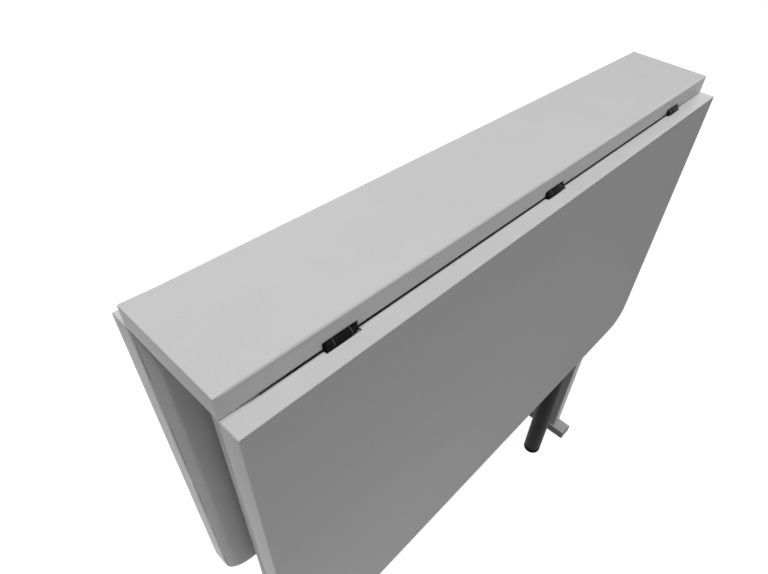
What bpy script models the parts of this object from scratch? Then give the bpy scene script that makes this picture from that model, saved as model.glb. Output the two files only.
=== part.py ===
"""Free-standing drop-leaf gateleg table, folded: both leaves hang and both gate legs are tucked in.

The frame has its origin on the floor under the middle of the top. +X runs along the top, +Y points
away from the near leaf and +Z is up. Every size is in metres. The near side is modelled in place,
and the far side is the same geometry turned half a turn about the vertical through the origin.
"""
import math

import bmesh
import bpy
from mathutils import Matrix

# Top and leaves
TABLE_HEIGHT = 0.738
TOP_LENGTH = 0.700
TOP_WIDTH = 0.1022
TOP_THICKNESS = 0.0195
TOP_EDGE_ROUND = 0.0025
TOP_CORNER_ROUND = 0.0035
LEAF_DROP = 0.403
LEAF_THICKNESS = 0.0195
LEAF_CORNER_RADIUS = 0.034
LEAF_TUCK = 0.001
LEAF_TOP_GAP = 0.0006
LEAF_RAISED_GAP = 0.001
BOARD_EDGE_ROUND = 0.0020
CORNER_STEPS = 8
EDGE_STEPS = 2

# End panels, feet and stretchers
PANEL_THICKNESS = 0.022
PANEL_WIDTH = 0.0865
PANEL_INSET = 0.0305
FOOT_LENGTH = 0.136
FOOT_WIDTH = 0.028
FOOT_HEIGHT = 0.0165
FOOT_OUTER_LIP = 0.0025
STRETCHER_THICKNESS = 0.018
UPPER_STRETCHER_DEPTH = 0.140
LOWER_STRETCHER_DEPTH = 0.080
LOWER_STRETCHER_BASE = 0.170
GLIDE_RADIUS = 0.009
GLIDE_HEIGHT = 0.0010
GLIDE_STEM_RADIUS = 0.002
GLIDE_STEM_LENGTH = 0.010
GLIDE_END_DISTANCE = 0.016

# Hinges
HINGE_END_DISTANCE = 0.0905
HINGE_STEPS = (-1, 0, 1)
PIN_RADIUS = 0.0016
PIN_HEAD_RADIUS = 0.0027
PIN_HEAD_LENGTH = 0.0006
LEAF_KNUCKLE_RADIUS = 0.0042
LEAF_KNUCKLE_LENGTH = 0.0148
TOP_KNUCKLE_RADIUS = 0.0035
TOP_KNUCKLE_LENGTH = 0.0060
KNUCKLE_GAP = 0.0004
FLAP_THICKNESS = 0.0016
FLAP_REACH = 0.026
FLAP_END_STEP = 0.0005
FLAP_SCREW_FIRST = 0.0105
FLAP_SCREW_SPACING = 0.0100
NOTCH_CLEARANCE = 0.0006

# Gate legs
GATE_SPAN = 0.330
LEG_PANEL_DISTANCE = 0.0607
LEG_RADIUS = 0.016
LEG_LEAF_CLEARANCE = 0.0004
LEG_SUPPORT_GAP = 0.003
RAIL_RADIUS = 0.010
RAIL_END_DISTANCE = 0.028
PIVOT_RADIUS = 0.011
PIVOT_TOP_DROP = 0.029
PIVOT_BASE_DROP = 0.014
TUBE_WALL = 0.0015
CAP_FOOT_HEIGHT = 0.012
CAP_TOP_HEIGHT = 0.004
CAP_PLUG_LENGTH = 0.020
CAP_ROUND = 0.0015
SPIGOT_LENGTH = 0.016
GATE_BRACKET_WIDTH = 0.030
GATE_BRACKET_HEIGHT = 0.030
GATE_BRACKET_THICKNESS = 0.003
GATE_BRACKET_NOSE = 0.012
GATE_SCREW_SPACING = 0.018

# Corner brackets under the top
CORNER_BRACKET_LEG = 0.020
CORNER_BRACKET_WIDTH = 0.016
CORNER_BRACKET_THICKNESS = 0.002
CORNER_BRACKET_OFFSET = 0.025
CORNER_SCREW_REACH = 0.012

# Screws: head radius, head height or depth, shank radius and length
PAN_SCREW = (0.0029, 0.0013, 0.0014, 0.0120)
BRACKET_SCREW = (0.0038, 0.0016, 0.0018, 0.0140)
PANEL_SCREW = (0.0050, 0.0030, 0.0030, 0.0500)
FOOT_SCREW = (0.0045, 0.0028, 0.0022, 0.0450)
PAN_CROWN = 0.0009
FOOT_SCREW_OFFSET = 0.024

# Fits and facets
CLEARANCE = 0.0003
CUT_PAST = 0.002
ROUND_PROFILE = 0.5
SHARP_ANGLE = 35
WELD = 0.000002
TUBE_SIDES = 24
PIN_SIDES = 12
SCREW_SIDES = 6

# Levels and planes that follow from the sizes above
TOP_UNDERSIDE = TABLE_HEIGHT - TOP_THICKNESS
TOP_EDGE_Y = -TOP_WIDTH / 2
LEAF_INNER_Y = TOP_EDGE_Y + LEAF_TUCK
LEAF_OUTER_Y = LEAF_INNER_Y - LEAF_THICKNESS
LEAF_TOP_Z = TOP_UNDERSIDE - LEAF_TOP_GAP
LEAF_PROUD = LEAF_THICKNESS - LEAF_TUCK
HINGE_SPACING = TOP_LENGTH / 2 - HINGE_END_DISTANCE
HINGE_BACK = (LEAF_PROUD + LEAF_RAISED_GAP - TOP_THICKNESS - LEAF_TOP_GAP) / 2
HINGE_Y = TOP_EDGE_Y - HINGE_BACK
HINGE_Z = TABLE_HEIGHT - LEAF_PROUD + HINGE_BACK
HINGE_HALF = LEAF_KNUCKLE_LENGTH / 2 + KNUCKLE_GAP + TOP_KNUCKLE_LENGTH
FLAP_HALF = HINGE_HALF - FLAP_END_STEP
PIN_HALF = HINGE_HALF + CLEARANCE + PIN_HEAD_LENGTH
NOTCH_HALF = PIN_HALF + NOTCH_CLEARANCE
NOTCH_REACH = LEAF_KNUCKLE_RADIUS + NOTCH_CLEARANCE
FOOT_BASE = GLIDE_HEIGHT + CLEARANCE
FOOT_TOP = FOOT_BASE + FOOT_HEIGHT
PANEL_BASE = FOOT_TOP + CLEARANCE
PANEL_TOP = TOP_UNDERSIDE - CLEARANCE
PANEL_OUTER_X = TOP_LENGTH / 2 - PANEL_INSET
PANEL_INNER_X = PANEL_OUTER_X - PANEL_THICKNESS
STRETCHER_HALF = PANEL_INNER_X - CLEARANCE
STRETCHER_FACE_Y = -STRETCHER_THICKNESS / 2
UPPER_STRETCHER_TOP = TOP_UNDERSIDE - CLEARANCE
UPPER_STRETCHER_BASE = UPPER_STRETCHER_TOP - UPPER_STRETCHER_DEPTH
LOWER_STRETCHER_TOP = LOWER_STRETCHER_BASE + LOWER_STRETCHER_DEPTH
GATE_Y = LEAF_INNER_Y + LEG_LEAF_CLEARANCE + LEG_RADIUS
GATE_LEG_X = PANEL_INNER_X - LEG_PANEL_DISTANCE
GATE_PIVOT_X = GATE_LEG_X - GATE_SPAN
PIVOT_TUBE_TOP = TOP_UNDERSIDE - PIVOT_TOP_DROP
PIVOT_TUBE_BASE = LOWER_STRETCHER_TOP - PIVOT_BASE_DROP
UPPER_RAIL_Z = PIVOT_TUBE_TOP - RAIL_END_DISTANCE
LOWER_RAIL_Z = PIVOT_TUBE_BASE + RAIL_END_DISTANCE
LEG_CAP_TOP = TABLE_HEIGHT - LEAF_THICKNESS - LEG_SUPPORT_GAP
LEG_TUBE_TOP = LEG_CAP_TOP - CAP_TOP_HEIGHT - CLEARANCE
LEG_TUBE_BASE = CAP_FOOT_HEIGHT + CLEARANCE

HALF_TURN = Matrix.Rotation(math.pi, 4, "Z")
SIDES = (("near", Matrix.Identity(4)), ("far", HALF_TURN))
ENDS = (("right", Matrix.Identity(4)), ("left", HALF_TURN))


def clear_scene():
    """Remove every object that the open file holds."""
    for item in list(bpy.data.objects):
        bpy.data.objects.remove(item, do_unlink=True)


def make_material(name, colour, roughness, metallic=0.0):
    """Return a Principled material with one colour."""
    material = bpy.data.materials.new(name)
    material.use_nodes = True
    shader = material.node_tree.nodes["Principled BSDF"]
    shader.inputs["Base Color"].default_value = (*colour, 1.0)
    shader.inputs["Roughness"].default_value = roughness
    shader.inputs["Metallic"].default_value = metallic
    material.diffuse_color = (*colour, 1.0)
    return material


def moved(shape, matrix):
    """Move a bmesh shape in place and return it."""
    bmesh.ops.transform(shape, matrix=matrix, verts=shape.verts)
    return shape


def at(x, y, z):
    """Return the matrix that shifts by x, y and z."""
    return Matrix.Translation((x, y, z))


def joined(shapes):
    """Return one bmesh that holds all the given shapes as separate bodies."""
    whole = bmesh.new()
    for shape in shapes:
        mesh = bpy.data.meshes.new("piece")
        shape.to_mesh(mesh)
        shape.free()
        whole.from_mesh(mesh)
        bpy.data.meshes.remove(mesh)
    return whole


def box(low, high):
    """Return a box between two corners."""
    shape = bmesh.new()
    bmesh.ops.create_cube(shape, size=1.0)
    size = [b - a for a, b in zip(low, high)]
    centre = [(a + b) / 2 for a, b in zip(low, high)]
    return moved(shape, Matrix.LocRotScale(centre, None, size))


def edges_where(shape, test):
    """Return the edges whose two end points both pass a test."""
    return [edge for edge in shape.edges if all(test(vert.co) for vert in edge.verts)]


def round_edges(shape, edges, radius, steps=EDGE_STEPS):
    """Round the given edges of a shape."""
    bmesh.ops.bevel(shape, geom=edges, offset=radius, segments=steps, profile=ROUND_PROFILE,
                    affect="EDGES", clamp_overlap=True)
    return shape


def board(low, high, radius=BOARD_EDGE_ROUND):
    """Return a box whose edges are all rounded."""
    shape = box(low, high)
    return round_edges(shape, list(shape.edges), radius)


def turned(profile, sides, closed=False):
    """Spin a profile of (radius, height) points about the vertical axis."""
    shape = bmesh.new()
    verts = [shape.verts.new((radius, 0.0, height)) for radius, height in profile]
    edges = [shape.edges.new(pair) for pair in zip(verts, verts[1:])]
    if closed:
        edges.append(shape.edges.new((verts[-1], verts[0])))
    bmesh.ops.spin(shape, geom=verts + edges, cent=(0, 0, 0), axis=(0, 0, 1),
                   angle=2 * math.pi, steps=sides, use_merge=True)
    bmesh.ops.remove_doubles(shape, verts=shape.verts, dist=WELD)
    bmesh.ops.recalc_face_normals(shape, faces=shape.faces)
    return shape


def rod(radius, base, top, sides=TUBE_SIDES):
    """Return an upright solid cylinder between two levels."""
    return turned([(0, top), (radius, top), (radius, base), (0, base)], sides)


def tube(radius, wall, base, top, sides=TUBE_SIDES):
    """Return an upright open tube between two levels."""
    inner = radius - wall
    return turned([(radius, base), (radius, top), (inner, top), (inner, base)], sides, closed=True)


def along_x(shape):
    """Lay an upright shape down so that its top points along +X."""
    return moved(shape, Matrix.Rotation(math.pi / 2, 4, "Y"))


def prism(outline, axis_matrix, length):
    """Extrude a flat (u, v) outline by a length, then place it with a matrix."""
    shape = bmesh.new()
    face = shape.faces.new([shape.verts.new((u, v, 0.0)) for u, v in outline])
    extruded = bmesh.ops.extrude_face_region(shape, geom=[face])
    tops = [item for item in extruded["geom"] if isinstance(item, bmesh.types.BMVert)]
    bmesh.ops.translate(shape, verts=tops, vec=(0, 0, length))
    bmesh.ops.recalc_face_normals(shape, faces=shape.faces)
    return moved(shape, axis_matrix)


def sunk_screw(size, matrix):
    """Return a countersunk screw: its head face is at the matrix origin and it points along -Z."""
    head, depth, shank, length = size
    profile = [(0, 0), (head, 0), (shank, -depth), (shank, -length), (0, -length)]
    return moved(turned(profile, PIN_SIDES), matrix)


def sunk_hole(size, matrix):
    """Return the cutter that leaves a clearance all round a countersunk screw."""
    head, depth, shank, length = size
    wide = head + CLEARANCE
    bore = shank + CLEARANCE
    profile = [(0, CUT_PAST), (wide, CUT_PAST), (wide, 0), (bore, -depth), (bore, -length - CLEARANCE),
               (0, -length - CLEARANCE)]
    return moved(turned(profile, PIN_SIDES), matrix)


def pan_screw(size, plate, matrix):
    """Return a pan-head screw that is tight in a plate, whose outer face is at the matrix origin."""
    head, rise, shank, length = size
    seat = -plate / 2
    profile = [(0, rise), (head - PAN_CROWN, rise), (head, rise - PAN_CROWN), (head, seat), (shank, seat),
               (shank, -length), (0, -length)]
    return moved(turned(profile, SCREW_SIDES), matrix)


def pilot_hole(size, matrix):
    """Return the cutter of a pan-head screw's hole in the board behind its plate."""
    _, _, shank, length = size
    return moved(rod(shank + CLEARANCE, -length - CLEARANCE, CUT_PAST, SCREW_SIDES), matrix)


def facing(axis, x, y, z):
    """Return the matrix of a screw that is driven along an axis from a point."""
    turns = {
        "-Z": Matrix.Identity(4),
        "+Z": Matrix.Rotation(math.pi, 4, "X"),
        "-Y": Matrix.Rotation(-math.pi / 2, 4, "X"),
        "+Y": Matrix.Rotation(math.pi / 2, 4, "X"),
        "-X": Matrix.Rotation(math.pi / 2, 4, "Y"),
        "+X": Matrix.Rotation(-math.pi / 2, 4, "Y"),
    }
    return at(x, y, z) @ turns[axis]


def add_part(name, shape, material, origin=None, round_piece=False):
    """Make a named object from a shape in world space, with its own origin."""
    anchor = origin or Matrix.Identity(4)
    moved(shape, anchor.inverted())
    mesh = bpy.data.meshes.new(name)
    shape.to_mesh(mesh)
    shape.free()
    mesh.materials.append(material)
    if round_piece:
        mesh.shade_smooth()
        mesh.set_sharp_from_angle(angle=math.radians(SHARP_ANGLE))
    part = bpy.data.objects.new(name, mesh)
    part.matrix_world = anchor
    bpy.context.scene.collection.objects.link(part)
    return part


def apply_tool(part, label, shapes, operation="DIFFERENCE"):
    """Cut hidden tool shapes, given in world space, out of a part, or join them to it."""
    tool = add_part(part.name + "_" + label, joined(shapes), part.data.materials[0], part.matrix_world)
    tool.hide_render = True
    tool.display_type = "WIRE"
    modifier = part.modifiers.new(label, "BOOLEAN")
    modifier.operation = operation
    modifier.solver = "EXACT"
    modifier.object = tool


def carried(part, carrier):
    """Parent a part to its carrier and leave it where it is."""
    place = part.matrix_world.copy()
    part.parent = carrier
    part.matrix_parent_inverse = carrier.matrix_world.inverted()
    part.matrix_world = place


def axis_empty(name, matrix):
    """Return an empty that marks a joint's axis."""
    marker = bpy.data.objects.new(name, None)
    marker.matrix_world = matrix
    bpy.context.scene.collection.objects.link(marker)
    return marker


def hinge_places():
    """Return the places of the near hinges along the top."""
    return [step * HINGE_SPACING for step in HINGE_STEPS]


def hinge_name(side, turn, hinge_x):
    """Return a hinge's name, from its side and its place along the top."""
    x = (turn @ at(hinge_x, HINGE_Y, HINGE_Z)).translation.x
    if abs(x) < HINGE_SPACING / 2:
        return side + "_middle_hinge"
    return side + ("_left_hinge" if x < 0 else "_right_hinge")


def flap_screw_reaches():
    """Return how far a flap's two screws stand from the hinge's axis."""
    return FLAP_SCREW_FIRST, FLAP_SCREW_FIRST + FLAP_SCREW_SPACING


def top_flap_screws(hinge_x):
    """Return the places of a near hinge's two screws that go up into the top."""
    face = TOP_UNDERSIDE - CLEARANCE - FLAP_THICKNESS
    return [facing("+Z", hinge_x, HINGE_Y + reach, face) for reach in flap_screw_reaches()]


def leaf_flap_screws(hinge_x):
    """Return the places of a near hinge's two screws that go into the leaf."""
    face = LEAF_INNER_Y + CLEARANCE + FLAP_THICKNESS
    return [facing("-Y", hinge_x, face, HINGE_Z - reach) for reach in flap_screw_reaches()]


def both_ways(distance):
    """Return a distance to the near and to the far side of the middle."""
    return -distance, distance


def side_of(matrix):
    """Return the side of the table that a place is on."""
    return "near" if matrix.translation.y < 0 else "far"


def corner_top_screw(y):
    """Return the place of a right corner bracket's screw that goes up into the top."""
    face = TOP_UNDERSIDE - CLEARANCE - CORNER_BRACKET_THICKNESS
    return facing("+Z", PANEL_INNER_X - CLEARANCE - CORNER_SCREW_REACH, y, face)


def corner_panel_screw(y):
    """Return the place of a right corner bracket's screw that goes into the end panel."""
    face = PANEL_INNER_X - CLEARANCE - CORNER_BRACKET_THICKNESS
    return facing("+X", face, y, TOP_UNDERSIDE - CLEARANCE - CORNER_SCREW_REACH)


def panel_screws():
    """Return the places of the right end's screws into the upper and lower stretchers."""
    upper = (UPPER_STRETCHER_TOP + UPPER_STRETCHER_BASE) / 2
    lower = (LOWER_STRETCHER_TOP + LOWER_STRETCHER_BASE) / 2
    return [("upper", facing("-X", PANEL_OUTER_X, 0.0, upper)), ("lower", facing("-X", PANEL_OUTER_X, 0.0, lower))]


def foot_screws():
    """Return the places of the right end's screws that go up through the foot bar into the panel."""
    x = PANEL_OUTER_X - PANEL_THICKNESS / 2
    return [facing("+Z", x, y, FOOT_BASE) for y in both_ways(FOOT_SCREW_OFFSET)]


def gate_bracket_levels():
    """Return the outer levels of the near gate's upper and lower bracket lugs."""
    step = CLEARANCE + GATE_BRACKET_THICKNESS
    return PIVOT_TUBE_TOP + step, PIVOT_TUBE_BASE - step


def gate_screws(level):
    """Return the places of a gate bracket's two screws, which go into a stretcher."""
    face = STRETCHER_FACE_Y - CLEARANCE - GATE_BRACKET_THICKNESS
    return [facing("+Y", GATE_PIVOT_X + step, face, level) for step in both_ways(GATE_SCREW_SPACING / 2)]


def gate_screw_levels():
    """Return the levels of the screws in the upper and lower gate brackets."""
    upper, lower = gate_bracket_levels()
    return upper - GATE_BRACKET_HEIGHT / 2, lower + GATE_BRACKET_THICKNESS - GATE_BRACKET_HEIGHT / 2


def pilots(size, places, turn):
    """Return the pilot holes of several pan-head screws, turned to their side or end."""
    return [pilot_hole(size, turn @ place) for place in places]


def pan_screws(size, plate, places, turn):
    """Return several pan-head screws in a plate, turned to their side or end."""
    return [pan_screw(size, plate, turn @ place) for place in places]


def build_top(material):
    """The narrow fixed top, with a notch for each hinge and holes for its screws."""
    half_length = TOP_LENGTH / 2
    half_width = TOP_WIDTH / 2
    shape = box((-half_length, -half_width, TOP_UNDERSIDE), (half_length, half_width, TABLE_HEIGHT))
    upright = [e for e in shape.edges if abs(e.verts[0].co.z - e.verts[1].co.z) > TOP_THICKNESS / 2]
    round_edges(shape, upright, TOP_CORNER_ROUND)
    middle = (TOP_UNDERSIDE + TABLE_HEIGHT) / 2
    upper = edges_where(shape, lambda co: co.z > middle)
    rim = [edge for edge in upper if len({face.normal.z > 0.5 for face in edge.link_faces}) == 2]
    round_edges(shape, rim, TOP_EDGE_ROUND, EDGE_STEPS + 1)
    part = add_part("top", shape, material)
    cuts = []
    for _, turn in SIDES:
        for hinge_x in hinge_places():
            notch = box((hinge_x - NOTCH_HALF, TOP_EDGE_Y - CUT_PAST, TOP_UNDERSIDE - CUT_PAST),
                        (hinge_x + NOTCH_HALF, HINGE_Y + NOTCH_REACH, HINGE_Z + NOTCH_REACH))
            cuts.append(moved(notch, turn))
            cuts += pilots(PAN_SCREW, top_flap_screws(hinge_x), turn)
    for _, turn in ENDS:
        corner_places = [corner_top_screw(y) for y in both_ways(CORNER_BRACKET_OFFSET)]
        cuts += pilots(PAN_SCREW, corner_places, turn)
    apply_tool(part, "cuts", cuts)


def leaf_outline():
    """Return the leaf's outline in X and Z: square at the top, with round lower corners."""
    half = TOP_LENGTH / 2
    base = LEAF_TOP_Z - LEAF_DROP
    centre_x = half - LEAF_CORNER_RADIUS
    centre_z = base + LEAF_CORNER_RADIUS
    points = [(-half, LEAF_TOP_Z), (half, LEAF_TOP_Z)]
    for side, start in ((1, 0.0), (-1, math.pi / 2)):
        for step in range(CORNER_STEPS + 1):
            angle = start + step / CORNER_STEPS * math.pi / 2
            x = side * centre_x + LEAF_CORNER_RADIUS * math.cos(angle)
            points.append((x, centre_z - LEAF_CORNER_RADIUS * math.sin(angle)))
    return points


def build_leaf(side, turn, material, axis):
    """A hanging leaf, with a notch for each hinge and holes for its screws."""
    upright = Matrix.Rotation(math.pi / 2, 4, "X")
    shape = prism(leaf_outline(), at(0, LEAF_INNER_Y, 0) @ upright, LEAF_THICKNESS)
    rims = [e for e in shape.edges if abs(e.verts[0].co.y - e.verts[1].co.y) < LEAF_THICKNESS / 2]
    round_edges(shape, rims, BOARD_EDGE_ROUND)
    part = add_part(side + "_leaf", moved(shape, turn), material, axis.matrix_world.copy())
    cuts = []
    for hinge_x in hinge_places():
        notch = box((hinge_x - NOTCH_HALF, HINGE_Y - NOTCH_REACH, HINGE_Z - NOTCH_REACH),
                    (hinge_x + NOTCH_HALF, LEAF_INNER_Y + CUT_PAST, LEAF_TOP_Z + CUT_PAST))
        cuts.append(moved(notch, turn))
        cuts += pilots(PAN_SCREW, leaf_flap_screws(hinge_x), turn)
    apply_tool(part, "cuts", cuts)
    carried(part, axis)


def hinge_bore(hinge_x, turn):
    """Return the cutter of the pin's bore through a whole hinge."""
    radius = PIN_RADIUS + CLEARANCE
    reach = HINGE_HALF + CUT_PAST
    bore = along_x(rod(radius, -reach, reach, PIN_SIDES))
    return moved(bore, turn @ at(hinge_x, HINGE_Y, HINGE_Z))


def build_top_flap(name, turn, hinge_x, material):
    """The hinge flap under the top, with the two outer knuckles and its two tight screws."""
    place = at(hinge_x, HINGE_Y, HINGE_Z)
    upper = TOP_UNDERSIDE - CLEARANCE - HINGE_Z
    plate = box((-FLAP_HALF, 0.0, upper - FLAP_THICKNESS), (FLAP_HALF, FLAP_REACH, upper))
    part = add_part(name, moved(plate, turn @ place), material, turn @ place, True)
    inner = HINGE_HALF - TOP_KNUCKLE_LENGTH
    knuckles = []
    for low, high in ((-HINGE_HALF, -inner), (inner, HINGE_HALF)):
        knuckle = along_x(rod(TOP_KNUCKLE_RADIUS, low, high, PIN_SIDES))
        knuckles.append(moved(knuckle, turn @ place))
    apply_tool(part, "knuckles", knuckles, "UNION")
    tongue = inner - KNUCKLE_GAP / 2
    gap = box((-tongue, -NOTCH_REACH, -NOTCH_REACH), (tongue, NOTCH_REACH, NOTCH_REACH))
    apply_tool(part, "gap", [moved(gap, turn @ place)])
    apply_tool(part, "bore", [hinge_bore(hinge_x, turn)])
    fixings = pan_screws(PAN_SCREW, FLAP_THICKNESS, top_flap_screws(hinge_x), turn)
    apply_tool(part, "screws", fixings, "UNION")


def build_leaf_flap(name, turn, hinge_x, material, axis):
    """The hinge flap on the leaf's inner face, with the middle knuckle and its two tight screws."""
    place = at(hinge_x, HINGE_Y, HINGE_Z)
    inner = LEAF_INNER_Y + CLEARANCE - HINGE_Y
    plate = box((-FLAP_HALF, inner, -FLAP_REACH), (FLAP_HALF, inner + FLAP_THICKNESS, 0.0))
    part = add_part(name, moved(plate, turn @ place), material, turn @ place, True)
    half = LEAF_KNUCKLE_LENGTH / 2
    knuckle = along_x(rod(LEAF_KNUCKLE_RADIUS, -half, half, PIN_SIDES))
    apply_tool(part, "knuckle", [moved(knuckle, turn @ place)], "UNION")
    reach = TOP_KNUCKLE_RADIUS + NOTCH_CLEARANCE
    tongue = half + KNUCKLE_GAP / 2
    gaps = []
    for low, high in ((-HINGE_HALF - CUT_PAST, -tongue), (tongue, HINGE_HALF + CUT_PAST)):
        gap = box((low, -NOTCH_REACH, -reach), (high, inner + FLAP_THICKNESS + CUT_PAST, NOTCH_REACH))
        gaps.append(moved(gap, turn @ place))
    apply_tool(part, "gaps", gaps)
    apply_tool(part, "bore", [hinge_bore(hinge_x, turn)])
    fixings = pan_screws(PAN_SCREW, FLAP_THICKNESS, leaf_flap_screws(hinge_x), turn)
    apply_tool(part, "screws", fixings, "UNION")
    carried(part, axis)


def build_hinge_pin(name, turn, hinge_x, material):
    """A hinge's pin, with a low head at each end."""
    place = turn @ at(hinge_x, HINGE_Y, HINGE_Z)
    shank = HINGE_HALF + CLEARANCE
    profile = [(0, PIN_HALF), (PIN_HEAD_RADIUS, PIN_HALF), (PIN_HEAD_RADIUS, shank), (PIN_RADIUS, shank),
               (PIN_RADIUS, -shank), (PIN_HEAD_RADIUS, -shank), (PIN_HEAD_RADIUS, -PIN_HALF), (0, -PIN_HALF)]
    shape = along_x(turned(profile, PIN_SIDES))
    add_part(name, moved(shape, place), material, place, True)


def build_leaf_side(side, turn, looks):
    """One leaf with its three hinges."""
    axis = axis_empty(side + "_leaf_axis", turn @ at(0, HINGE_Y, HINGE_Z))
    build_leaf(side, turn, looks["board"], axis)
    for hinge_x in hinge_places():
        name = hinge_name(side, turn, hinge_x)
        build_top_flap(name + "_top_flap", turn, hinge_x, looks["hinge"])
        build_leaf_flap(name + "_leaf_flap", turn, hinge_x, looks["hinge"], axis)
        build_hinge_pin(name + "_pin", turn, hinge_x, looks["steel"])


def build_stretcher(name, base, top, material, cuts):
    """A board between the two end panels."""
    half = STRETCHER_THICKNESS / 2
    shape = board((-STRETCHER_HALF, -half, base), (STRETCHER_HALF, half, top))
    apply_tool(add_part(name, shape, material), "cuts", cuts)


def build_stretchers(material):
    """The upper and lower stretchers, with holes for the end and gate screws."""
    upper_level, lower_level = gate_screw_levels()
    upper_cuts = []
    lower_cuts = []
    for _, turn in ENDS:
        (_, upper_place), (_, lower_place) = panel_screws()
        upper_cuts.append(sunk_hole(PANEL_SCREW, turn @ upper_place))
        lower_cuts.append(sunk_hole(PANEL_SCREW, turn @ lower_place))
    for _, turn in SIDES:
        upper_cuts += pilots(BRACKET_SCREW, gate_screws(upper_level), turn)
        lower_cuts += pilots(BRACKET_SCREW, gate_screws(lower_level), turn)
    build_stretcher("upper_stretcher", UPPER_STRETCHER_BASE, UPPER_STRETCHER_TOP, material, upper_cuts)
    build_stretcher("lower_stretcher", LOWER_STRETCHER_BASE, LOWER_STRETCHER_TOP, material, lower_cuts)


def glide_places():
    """Return the middles of the right foot bar's two glides."""
    x = PANEL_OUTER_X + FOOT_OUTER_LIP - FOOT_WIDTH / 2
    return [at(x, y, 0.0) for y in both_ways(FOOT_LENGTH / 2 - GLIDE_END_DISTANCE)]


def glide(spare, place):
    """Return a nail-in glide, or with a spare gap the cutter of its stem's hole."""
    stem = GLIDE_STEM_RADIUS + spare
    tip = GLIDE_HEIGHT + GLIDE_STEM_LENGTH + spare
    profile = [(0, tip), (stem, tip), (stem, GLIDE_HEIGHT), (GLIDE_RADIUS, GLIDE_HEIGHT), (GLIDE_RADIUS, 0), (0, 0)]
    return moved(turned(profile, PIN_SIDES), place)


def build_panel(end, turn, material):
    """An end panel, with holes for every screw that enters it."""
    half = PANEL_WIDTH / 2
    shape = board((PANEL_INNER_X, -half, PANEL_BASE), (PANEL_OUTER_X, half, PANEL_TOP))
    panel = add_part(end + "_end_panel", moved(shape, turn), material)
    cuts = [sunk_hole(PANEL_SCREW, turn @ place) for _, place in panel_screws()]
    cuts += [sunk_hole(FOOT_SCREW, turn @ place) for place in foot_screws()]
    corner_places = [corner_panel_screw(y) for y in both_ways(CORNER_BRACKET_OFFSET)]
    cuts += pilots(PAN_SCREW, corner_places, turn)
    apply_tool(panel, "cuts", cuts)


def build_foot(end, turn, looks):
    """A foot bar with its two glides."""
    outer = PANEL_OUTER_X + FOOT_OUTER_LIP
    half = FOOT_LENGTH / 2
    shape = board((outer - FOOT_WIDTH, -half, FOOT_BASE), (outer, half, FOOT_TOP))
    foot = add_part(end + "_foot_bar", moved(shape, turn), looks["board"])
    cuts = [sunk_hole(FOOT_SCREW, turn @ place) for place in foot_screws()]
    cuts += [glide(CLEARANCE, turn @ place) for place in glide_places()]
    apply_tool(foot, "cuts", cuts)
    for place in glide_places():
        spot = turn @ place
        add_part(f"{end}_{side_of(spot)}_foot_glide", glide(0.0, spot), looks["plastic"], spot, True)


def build_corner_brackets(end, turn, material):
    """The two bent brackets that hold an end panel to the top, with their tight screws."""
    for y in both_ways(CORNER_BRACKET_OFFSET):
        spot = turn @ at(PANEL_INNER_X, y, TOP_UNDERSIDE)
        name = f"{end}_{side_of(spot)}_corner_bracket"
        part = add_part(name, moved(corner_bracket(y), turn), material, spot, True)
        places = [corner_top_screw(y), corner_panel_screw(y)]
        fixings = pan_screws(PAN_SCREW, CORNER_BRACKET_THICKNESS, places, turn)
        apply_tool(part, "screws", fixings, "UNION")


def build_end(end, turn, looks):
    """One end panel on its foot bar, with its glides, brackets and screws."""
    build_panel(end, turn, looks["board"])
    build_foot(end, turn, looks)
    build_corner_brackets(end, turn, looks["steel"])
    for label, place in panel_screws():
        spot = turn @ place
        add_part(f"{end}_{label}_panel_screw", sunk_screw(PANEL_SCREW, spot), looks["screw"], spot, True)
    for place in foot_screws():
        spot = turn @ place
        add_part(f"{end}_{side_of(spot)}_foot_screw", sunk_screw(FOOT_SCREW, spot), looks["screw"], spot, True)


def corner_bracket(y):
    """Return a bent bracket in the corner of the right end panel and the top."""
    leg = CORNER_BRACKET_LEG
    thick = CORNER_BRACKET_THICKNESS
    outline = [(0, 0), (-leg, 0), (-leg, -thick), (-thick, -thick), (-thick, -leg), (0, -leg)]
    corner = at(PANEL_INNER_X - CLEARANCE, y + CORNER_BRACKET_WIDTH / 2, TOP_UNDERSIDE - CLEARANCE)
    return prism(outline, corner @ Matrix.Rotation(math.pi / 2, 4, "X"), CORNER_BRACKET_WIDTH)


def cap(levels, radius):
    """Return a plastic plug: rounded outside, with a stem that fills the tube's end."""
    outside, shoulder, tip = levels
    away = 1 if outside > shoulder else -1
    stem = radius - TUBE_WALL - CLEARANCE
    profile = [(0, outside), (radius - CAP_ROUND, outside), (radius, outside - away * CAP_ROUND),
               (radius, shoulder), (stem, shoulder), (stem, tip), (0, tip)]
    return turned(profile, TUBE_SIDES)


def build_rail(name, level, turn, material, pivot):
    """A gate rail, coped to the pivot tube at one end and to the leg at the other."""
    shape = along_x(tube(RAIL_RADIUS, TUBE_WALL, GATE_PIVOT_X, GATE_LEG_X))
    part = add_part(name, moved(shape, turn @ at(0, GATE_Y, level)), material, pivot.matrix_world.copy(), True)
    reach = RAIL_RADIUS + CUT_PAST
    ends = []
    for x, radius in ((GATE_PIVOT_X, PIVOT_RADIUS), (GATE_LEG_X, LEG_RADIUS)):
        coping = rod(radius + CLEARANCE, level - reach, level + reach)
        ends.append(moved(coping, turn @ at(x, GATE_Y, 0)))
    apply_tool(part, "coping", ends)
    carried(part, pivot)


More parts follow.
